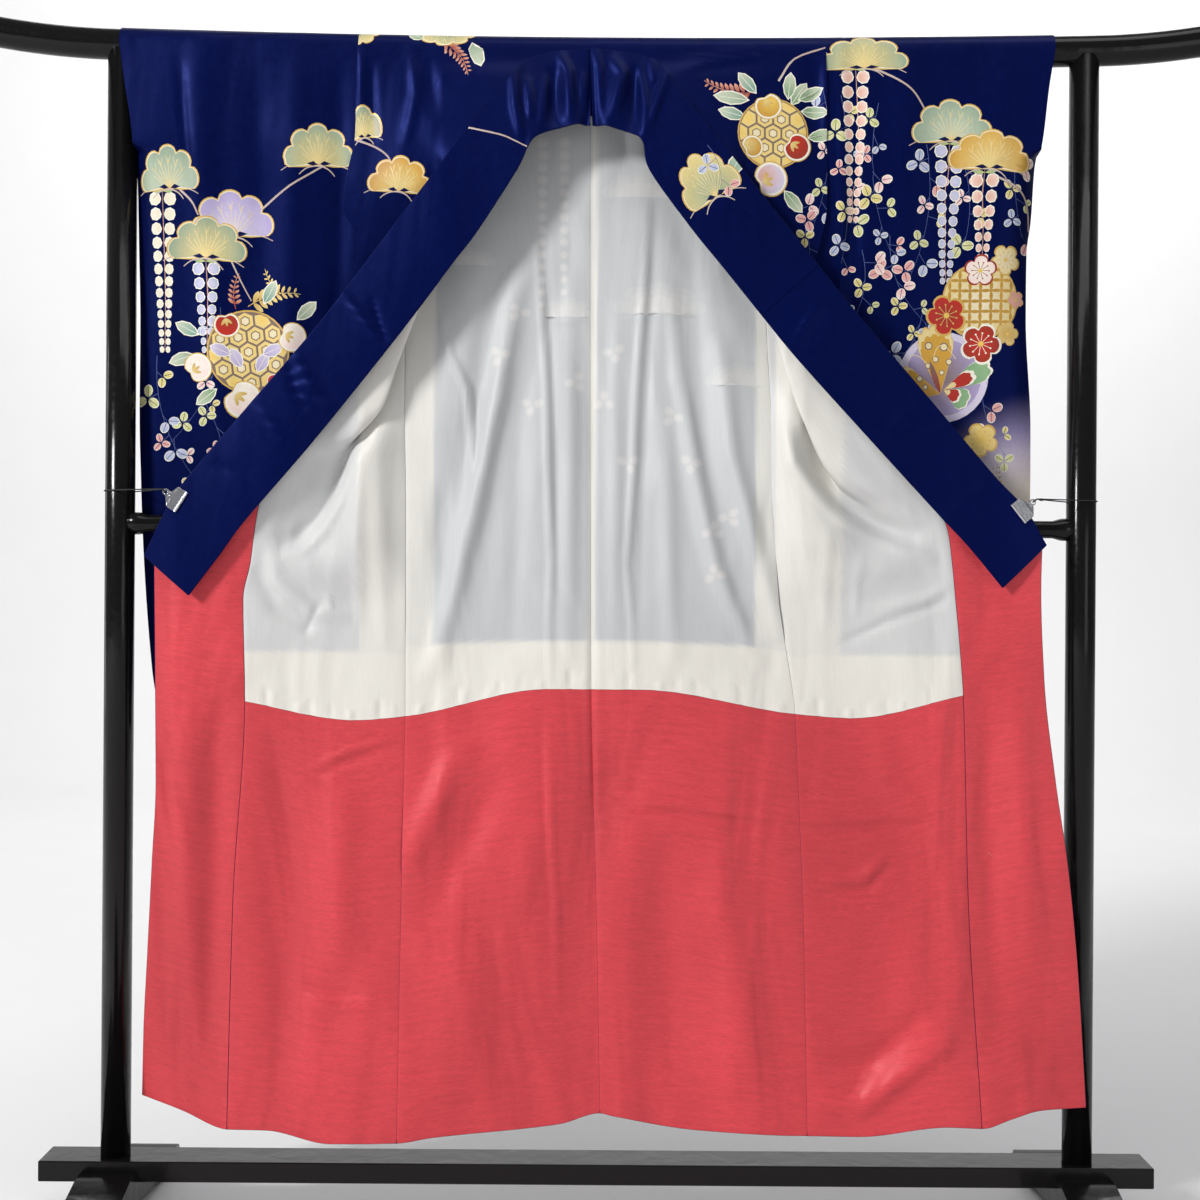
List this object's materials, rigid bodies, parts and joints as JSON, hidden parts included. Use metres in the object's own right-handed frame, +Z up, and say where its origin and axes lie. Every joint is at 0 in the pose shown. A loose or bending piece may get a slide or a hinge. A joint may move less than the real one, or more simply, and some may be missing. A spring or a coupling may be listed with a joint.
{
  "type": "furisode kimono on a kimono stand",
  "caption": "Lined long-sleeved silk kimono in dark blue, hung wide open on a black lacquered stand, its collar ends held out by clips.",
  "frame": {"origin": "on the floor midway between the two feet, under the middle of the top bar", "axes": "+Z up, +X to the viewer's right along the bar, -Y towards the viewer, who looks into the opened front"},
  "size_m": [1.8882, 0.426, 1.7648],
  "materials": {
    "blue_silk": "silk satin crepe with a soft sheen",
    "white_lining": "thin plain silk, slightly see-through",
    "red_lining": "plain silk with a fine crosswise rib",
    "black_lacquer": "gloss black lacquer",
    "chrome": "polished",
    "black_elastic": "matt, fabric covered"
  },
  "bodies": {
    "root": {"body_left": "blue_silk", "overlap_left": "blue_silk", "sleeve_left": "blue_silk", "collar_left": "blue_silk", "over_collar_left": "blue_silk", "back_lining_left": "white_lining", "front_lining_left": "white_lining", "back_hem_lining_left": "red_lining", "front_hem_lining_left": "red_lining", "overlap_lining_left": "red_lining", "clip_jaw_front_left": "chrome", "clip_jaw_back_left": "chrome", "clip_ring_left": "chrome", "tie_left": "black_elastic", "post_left": "black_lacquer", "foot_left": "black_lacquer", "body_right": "blue_silk", "overlap_right": "blue_silk", "sleeve_right": "blue_silk", "collar_right": "blue_silk", "over_collar_right": "blue_silk", "back_lining_right": "white_lining", "front_lining_right": "white_lining", "back_hem_lining_right": "red_lining", "front_hem_lining_right": "red_lining", "overlap_lining_right": "red_lining", "clip_jaw_front_right": "chrome", "clip_jaw_back_right": "chrome", "clip_ring_right": "chrome", "tie_right": "black_elastic", "post_right": "black_lacquer", "foot_right": "black_lacquer", "top_bar": "black_lacquer", "middle_bar": "black_lacquer", "base_rail": "black_lacquer"}
  },
  "joints": []
}
